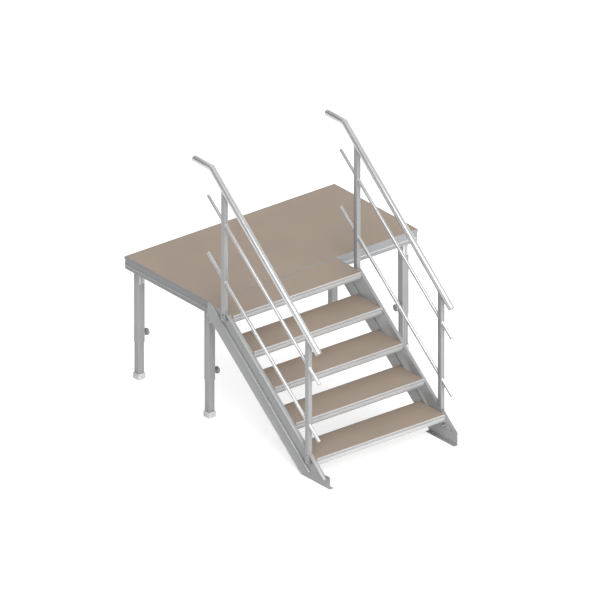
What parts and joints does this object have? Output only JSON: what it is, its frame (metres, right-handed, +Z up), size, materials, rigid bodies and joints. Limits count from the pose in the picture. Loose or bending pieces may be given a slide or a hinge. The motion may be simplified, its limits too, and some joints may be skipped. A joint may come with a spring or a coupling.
{
  "type": "stage riser platform",
  "caption": "Aluminium-framed stage deck with a brown panel on telescopic legs, with a stair of open treads and a tubular handrail on each side hooked to its front.",
  "frame": {"origin": "bottom centre of the whole object's bounding box, on the floor", "axes": "+Z up, +Y from the foot of the stair towards the back of the deck, +X along the deck to the right of someone climbing the stair"},
  "size_m": [2.0522, 2.46, 2.17],
  "materials": {
    "decking": "matt film-faced plywood, fine anti-slip texture",
    "frame_aluminium": "satin mill finish, extruded",
    "aluminium": "satin mill finish, extruded",
    "tread_aluminium": "light satin, extruded",
    "rail_aluminium": "bright satin tube",
    "foot_plastic": "moulded, light grey",
    "knob_plastic": "moulded, mid grey"
  },
  "bodies": {
    "deck": {"deck_panel": "decking", "frame_rail_front": "frame_aluminium", "frame_rail_back": "frame_aluminium", "frame_rail_left": "frame_aluminium", "frame_rail_right": "frame_aluminium", "cross_beam_left": "aluminium", "cross_beam_centre": "aluminium", "cross_beam_right": "aluminium", "leg_socket_front_left": "frame_aluminium", "leg_outer_tube_front_left": "aluminium", "clamp_boss_front_left": "aluminium", "leg_socket_back_left": "frame_aluminium", "leg_outer_tube_back_left": "aluminium", "clamp_boss_back_left": "aluminium", "leg_socket_front_right": "frame_aluminium", "leg_outer_tube_front_right": "aluminium", "clamp_boss_front_right": "aluminium", "leg_socket_back_right": "frame_aluminium", "leg_outer_tube_back_right": "aluminium", "clamp_boss_back_right": "aluminium", "stair_hanger_left": "frame_aluminium", "stair_hanger_right": "frame_aluminium"},
    "leg_front_left": {"leg_inner_tube_front_left": "aluminium", "leg_foot_front_left": "foot_plastic"},
    "leg_back_left": {"leg_inner_tube_back_left": "aluminium", "leg_foot_back_left": "foot_plastic"},
    "leg_front_right": {"leg_inner_tube_front_right": "aluminium", "leg_foot_front_right": "foot_plastic"},
    "leg_back_right": {"leg_inner_tube_back_right": "aluminium", "leg_foot_back_right": "foot_plastic"},
    "knob_front_left": {"clamp_knob_front_left": "knob_plastic"},
    "knob_back_left": {"clamp_knob_back_left": "knob_plastic"},
    "knob_front_right": {"clamp_knob_front_right": "knob_plastic"},
    "knob_back_right": {"clamp_knob_back_right": "knob_plastic"},
    "stair": {"tread_frame_1": "tread_aluminium", "tread_board_1": "decking", "tread_frame_2": "tread_aluminium", "tread_board_2": "decking", "tread_frame_3": "tread_aluminium", "tread_board_3": "decking", "tread_frame_4": "tread_aluminium", "tread_board_4": "decking", "tread_frame_5": "tread_aluminium", "tread_board_5": "decking", "stringer_left": "aluminium", "stair_foot_left": "aluminium", "stair_hook_left": "aluminium", "post_upper_left": "aluminium", "post_lower_left": "aluminium", "top_rail_left": "rail_aluminium", "mid_rail_upper_left": "rail_aluminium", "mid_rail_lower_left": "rail_aluminium", "stringer_right": "aluminium", "stair_foot_right": "aluminium", "stair_hook_right": "aluminium", "post_upper_right": "aluminium", "post_lower_right": "aluminium", "top_rail_right": "rail_aluminium", "mid_rail_upper_right": "rail_aluminium", "mid_rail_lower_right": "rail_aluminium"}
  },
  "joints": [
    {"name": "leg_slide_front_left", "type": "slide", "parent": "deck", "child": "leg_front_left", "axis": [0, 0, 1], "range_m": [-0.15, 0.25]},
    {"name": "knob_turn_front_left", "type": "hinge", "parent": "deck", "child": "knob_front_left", "pos_m": [-0.82585, 0.31, 0.365], "axis": [1, 0, 0], "range_deg": [0, 540]},
    {"name": "leg_slide_back_left", "type": "slide", "parent": "deck", "child": "leg_back_left", "axis": [0, 0, 1], "range_m": [-0.15, 0.25]},
    {"name": "knob_turn_back_left", "type": "hinge", "parent": "deck", "child": "knob_back_left", "pos_m": [-0.82585, 1.15, 0.365], "axis": [1, 0, 0], "range_deg": [0, 540]},
    {"name": "leg_slide_front_right", "type": "slide", "parent": "deck", "child": "leg_front_right", "axis": [0, 0, 1], "range_m": [-0.15, 0.25]},
    {"name": "knob_turn_front_right", "type": "hinge", "parent": "deck", "child": "knob_front_right", "pos_m": [0.87815, 0.31, 0.365], "axis": [-1, 0, 0], "range_deg": [0, 540]},
    {"name": "leg_slide_back_right", "type": "slide", "parent": "deck", "child": "leg_back_right", "axis": [0, 0, 1], "range_m": [-0.15, 0.25]},
    {"name": "knob_turn_back_right", "type": "hinge", "parent": "deck", "child": "knob_back_right", "pos_m": [0.87815, 1.15, 0.365], "axis": [-1, 0, 0], "range_deg": [0, 540]},
    {"name": "stair_lift", "type": "slide", "parent": "deck", "child": "stair", "axis": [0, 0, 1], "range_m": [0, 0.12]}
  ]
}
